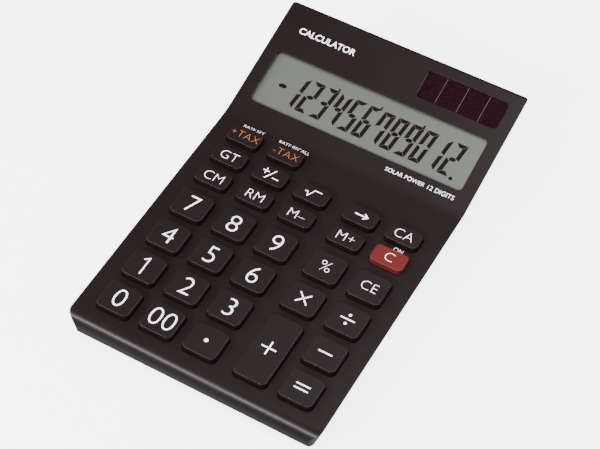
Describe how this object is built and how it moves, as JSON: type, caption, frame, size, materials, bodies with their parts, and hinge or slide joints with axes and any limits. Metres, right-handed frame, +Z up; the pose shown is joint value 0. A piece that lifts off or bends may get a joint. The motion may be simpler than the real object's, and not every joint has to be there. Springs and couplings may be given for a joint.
{
  "type": "desk calculator",
  "caption": "Dark desk calculator: key deck with separate travelling keys, raised tilted display with solar panel, and a screwed rear case with button cell compartment.",
  "frame": {"origin": "on the table surface, under the middle of the bounding box", "axes": "+X to the user's right, +Y from the front edge towards the display end, +Z up"},
  "size_m": [0.1102, 0.175, 0.0324],
  "materials": {
    "case_plastic": "fine matt texture",
    "key_plastic": "matt, printed legends",
    "red_key_plastic": "matt, printed legend",
    "clear_window": "clear acrylic",
    "display_glass": "liquid crystal glass, grey green",
    "reflector_foil": "satin foil",
    "holder_plastic": "moulded",
    "flex_film": "polyimide film with printed tracks",
    "black_tape": "double-sided tape",
    "solar_glass": "amorphous silicon cells on glass",
    "lead_insulation": "PVC insulation",
    "silicone": "silicone",
    "carbon_rubber": "carbon-filled rubber",
    "board_laminate": "paper laminate with tracks",
    "chip_resin": "black epoxy",
    "capacitor_can": "sleeved aluminium can",
    "ceramic": "fired ceramic",
    "cell_steel": "nickel-plated steel",
    "contact_metal": "plated spring steel",
    "screw_steel": "black zinc plated steel",
    "foot_rubber": "rubber"
  },
  "bodies": {
    "case": {"battery_contact_negative": "contact_metal", "battery_contact_positive": "contact_metal", "battery_cover": "case_plastic", "battery_cover_screw": "screw_steel", "button_cell": "cell_steel", "case_screws": "screw_steel", "ceramic_capacitors": "ceramic", "contact_pills": "carbon_rubber", "controller_chip": "chip_resin", "display_window": "clear_window", "display_window_tape": "black_tape", "electrolytic_capacitor": "capacitor_can", "front_cover": "case_plastic", "front_feet": "foot_rubber", "inner_screws": "screw_steel", "key_mat": "silicone", "lcd_flex_cable": "flex_film", "lcd_front_glass": "display_glass", "lcd_holder": "holder_plastic", "lcd_rear_glass": "display_glass", "lcd_reflector": "reflector_foil", "main_board": "board_laminate", "rear_case": "case_plastic", "rear_feet": "foot_rubber", "solar_leads": "lead_insulation", "solar_panel": "solar_glass", "solar_panel_tape": "black_tape"},
    "key_0": {"key_0": "key_plastic"},
    "key_00": {"key_00": "key_plastic"},
    "key_1": {"key_1": "key_plastic"},
    "key_2": {"key_2": "key_plastic"},
    "key_3": {"key_3": "key_plastic"},
    "key_4": {"key_4": "key_plastic"},
    "key_5": {"key_5": "key_plastic"},
    "key_6": {"key_6": "key_plastic"},
    "key_7": {"key_7": "key_plastic"},
    "key_8": {"key_8": "key_plastic"},
    "key_9": {"key_9": "key_plastic"},
    "key_backspace": {"key_backspace": "key_plastic"},
    "key_clear_all": {"key_clear_all": "key_plastic"},
    "key_clear_entry": {"key_clear_entry": "key_plastic"},
    "key_divide": {"key_divide": "key_plastic"},
    "key_equals": {"key_equals": "key_plastic"},
    "key_grand_total": {"key_grand_total": "key_plastic"},
    "key_memory_clear": {"key_memory_clear": "key_plastic"},
    "key_memory_minus": {"key_memory_minus": "key_plastic"},
    "key_memory_plus": {"key_memory_plus": "key_plastic"},
    "key_memory_recall": {"key_memory_recall": "key_plastic"},
    "key_minus": {"key_minus": "key_plastic"},
    "key_multiply": {"key_multiply": "key_plastic"},
    "key_on_clear": {"key_on_clear": "red_key_plastic"},
    "key_percent": {"key_percent": "key_plastic"},
    "key_plus": {"key_plus": "key_plastic"},
    "key_point": {"key_point": "key_plastic"},
    "key_sign_change": {"key_sign_change": "key_plastic"},
    "key_square_root": {"key_square_root": "key_plastic"},
    "key_tax_minus": {"key_tax_minus": "key_plastic"},
    "key_tax_plus": {"key_tax_plus": "key_plastic"}
  },
  "joints": [
    {"name": "key_0_travel", "type": "slide", "parent": "case", "child": "key_0", "axis": [0, 0.0436, -0.999], "range_m": [0, 0.0012], "stiffness_N_per_m": 400, "springref_m": -0.0003, "deforming": ["key_mat", "contact_pills"]},
    {"name": "key_00_travel", "type": "slide", "parent": "case", "child": "key_00", "axis": [0, 0.0436, -0.999], "range_m": [0, 0.0012], "stiffness_N_per_m": 400, "springref_m": -0.0003, "deforming": ["key_mat", "contact_pills"]},
    {"name": "key_1_travel", "type": "slide", "parent": "case", "child": "key_1", "axis": [0, 0.0436, -0.999], "range_m": [0, 0.0012], "stiffness_N_per_m": 400, "springref_m": -0.0003, "deforming": ["key_mat", "contact_pills"]},
    {"name": "key_2_travel", "type": "slide", "parent": "case", "child": "key_2", "axis": [0, 0.0436, -0.999], "range_m": [0, 0.0012], "stiffness_N_per_m": 400, "springref_m": -0.0003, "deforming": ["key_mat", "contact_pills"]},
    {"name": "key_3_travel", "type": "slide", "parent": "case", "child": "key_3", "axis": [0, 0.0436, -0.999], "range_m": [0, 0.0012], "stiffness_N_per_m": 400, "springref_m": -0.0003, "deforming": ["key_mat", "contact_pills"]},
    {"name": "key_4_travel", "type": "slide", "parent": "case", "child": "key_4", "axis": [0, 0.0436, -0.999], "range_m": [0, 0.0012], "stiffness_N_per_m": 400, "springref_m": -0.0003, "deforming": ["key_mat", "contact_pills"]},
    {"name": "key_5_travel", "type": "slide", "parent": "case", "child": "key_5", "axis": [0, 0.0436, -0.999], "range_m": [0, 0.0012], "stiffness_N_per_m": 400, "springref_m": -0.0003, "deforming": ["key_mat", "contact_pills"]},
    {"name": "key_6_travel", "type": "slide", "parent": "case", "child": "key_6", "axis": [0, 0.0436, -0.999], "range_m": [0, 0.0012], "stiffness_N_per_m": 400, "springref_m": -0.0003, "deforming": ["key_mat", "contact_pills"]},
    {"name": "key_7_travel", "type": "slide", "parent": "case", "child": "key_7", "axis": [0, 0.0436, -0.999], "range_m": [0, 0.0012], "stiffness_N_per_m": 400, "springref_m": -0.0003, "deforming": ["key_mat", "contact_pills"]},
    {"name": "key_8_travel", "type": "slide", "parent": "case", "child": "key_8", "axis": [0, 0.0436, -0.999], "range_m": [0, 0.0012], "stiffness_N_per_m": 400, "springref_m": -0.0003, "deforming": ["key_mat", "contact_pills"]},
    {"name": "key_9_travel", "type": "slide", "parent": "case", "child": "key_9", "axis": [0, 0.0436, -0.999], "range_m": [0, 0.0012], "stiffness_N_per_m": 400, "springref_m": -0.0003, "deforming": ["key_mat", "contact_pills"]},
    {"name": "key_backspace_travel", "type": "slide", "parent": "case", "child": "key_backspace", "axis": [0, 0.0436, -0.999], "range_m": [0, 0.0012], "stiffness_N_per_m": 400, "springref_m": -0.0003, "deforming": ["key_mat", "contact_pills"]},
    {"name": "key_clear_all_travel", "type": "slide", "parent": "case", "child": "key_clear_all", "axis": [0, 0.0436, -0.999], "range_m": [0, 0.0012], "stiffness_N_per_m": 400, "springref_m": -0.0003, "deforming": ["key_mat", "contact_pills"]},
    {"name": "key_clear_entry_travel", "type": "slide", "parent": "case", "child": "key_clear_entry", "axis": [0, 0.0436, -0.999], "range_m": [0, 0.0012], "stiffness_N_per_m": 400, "springref_m": -0.0003, "deforming": ["key_mat", "contact_pills"]},
    {"name": "key_divide_travel", "type": "slide", "parent": "case", "child": "key_divide", "axis": [0, 0.0436, -0.999], "range_m": [0, 0.0012], "stiffness_N_per_m": 400, "springref_m": -0.0003, "deforming": ["key_mat", "contact_pills"]},
    {"name": "key_equals_travel", "type": "slide", "parent": "case", "child": "key_equals", "axis": [0, 0.0436, -0.999], "range_m": [0, 0.0012], "stiffness_N_per_m": 400, "springref_m": -0.0003, "deforming": ["key_mat", "contact_pills"]},
    {"name": "key_grand_total_travel", "type": "slide", "parent": "case", "child": "key_grand_total", "axis": [0, 0.0436, -0.999], "range_m": [0, 0.0012], "stiffness_N_per_m": 400, "springref_m": -0.0003, "deforming": ["key_mat", "contact_pills"]},
    {"name": "key_memory_clear_travel", "type": "slide", "parent": "case", "child": "key_memory_clear", "axis": [0, 0.0436, -0.999], "range_m": [0, 0.0012], "stiffness_N_per_m": 400, "springref_m": -0.0003, "deforming": ["key_mat", "contact_pills"]},
    {"name": "key_memory_minus_travel", "type": "slide", "parent": "case", "child": "key_memory_minus", "axis": [0, 0.0436, -0.999], "range_m": [0, 0.0012], "stiffness_N_per_m": 400, "springref_m": -0.0003, "deforming": ["key_mat", "contact_pills"]},
    {"name": "key_memory_plus_travel", "type": "slide", "parent": "case", "child": "key_memory_plus", "axis": [0, 0.0436, -0.999], "range_m": [0, 0.0012], "stiffness_N_per_m": 400, "springref_m": -0.0003, "deforming": ["key_mat", "contact_pills"]},
    {"name": "key_memory_recall_travel", "type": "slide", "parent": "case", "child": "key_memory_recall", "axis": [0, 0.0436, -0.999], "range_m": [0, 0.0012], "stiffness_N_per_m": 400, "springref_m": -0.0003, "deforming": ["key_mat", "contact_pills"]},
    {"name": "key_minus_travel", "type": "slide", "parent": "case", "child": "key_minus", "axis": [0, 0.0436, -0.999], "range_m": [0, 0.0012], "stiffness_N_per_m": 400, "springref_m": -0.0003, "deforming": ["key_mat", "contact_pills"]},
    {"name": "key_multiply_travel", "type": "slide", "parent": "case", "child": "key_multiply", "axis": [0, 0.0436, -0.999], "range_m": [0, 0.0012], "stiffness_N_per_m": 400, "springref_m": -0.0003, "deforming": ["key_mat", "contact_pills"]},
    {"name": "key_on_clear_travel", "type": "slide", "parent": "case", "child": "key_on_clear", "axis": [0, 0.0436, -0.999], "range_m": [0, 0.0012], "stiffness_N_per_m": 400, "springref_m": -0.0003, "deforming": ["key_mat", "contact_pills"]},
    {"name": "key_percent_travel", "type": "slide", "parent": "case", "child": "key_percent", "axis": [0, 0.0436, -0.999], "range_m": [0, 0.0012], "stiffness_N_per_m": 400, "springref_m": -0.0003, "deforming": ["key_mat", "contact_pills"]},
    {"name": "key_plus_travel", "type": "slide", "parent": "case", "child": "key_plus", "axis": [0, 0.0436, -0.999], "range_m": [0, 0.0012], "stiffness_N_per_m": 700, "springref_m": -0.0003, "deforming": ["key_mat", "contact_pills"]},
    {"name": "key_point_travel", "type": "slide", "parent": "case", "child": "key_point", "axis": [0, 0.0436, -0.999], "range_m": [0, 0.0012], "stiffness_N_per_m": 400, "springref_m": -0.0003, "deforming": ["key_mat", "contact_pills"]},
    {"name": "key_sign_change_travel", "type": "slide", "parent": "case", "child": "key_sign_change", "axis": [0, 0.0436, -0.999], "range_m": [0, 0.0012], "stiffness_N_per_m": 400, "springref_m": -0.0003, "deforming": ["key_mat", "contact_pills"]},
    {"name": "key_square_root_travel", "type": "slide", "parent": "case", "child": "key_square_root", "axis": [0, 0.0436, -0.999], "range_m": [0, 0.0012], "stiffness_N_per_m": 400, "springref_m": -0.0003, "deforming": ["key_mat", "contact_pills"]},
    {"name": "key_tax_minus_travel", "type": "slide", "parent": "case", "child": "key_tax_minus", "axis": [0, 0.0436, -0.999], "range_m": [0, 0.0012], "stiffness_N_per_m": 400, "springref_m": -0.0003, "deforming": ["key_mat", "contact_pills"]},
    {"name": "key_tax_plus_travel", "type": "slide", "parent": "case", "child": "key_tax_plus", "axis": [0, 0.0436, -0.999], "range_m": [0, 0.0012], "stiffness_N_per_m": 400, "springref_m": -0.0003, "deforming": ["key_mat", "contact_pills"]}
  ]
}
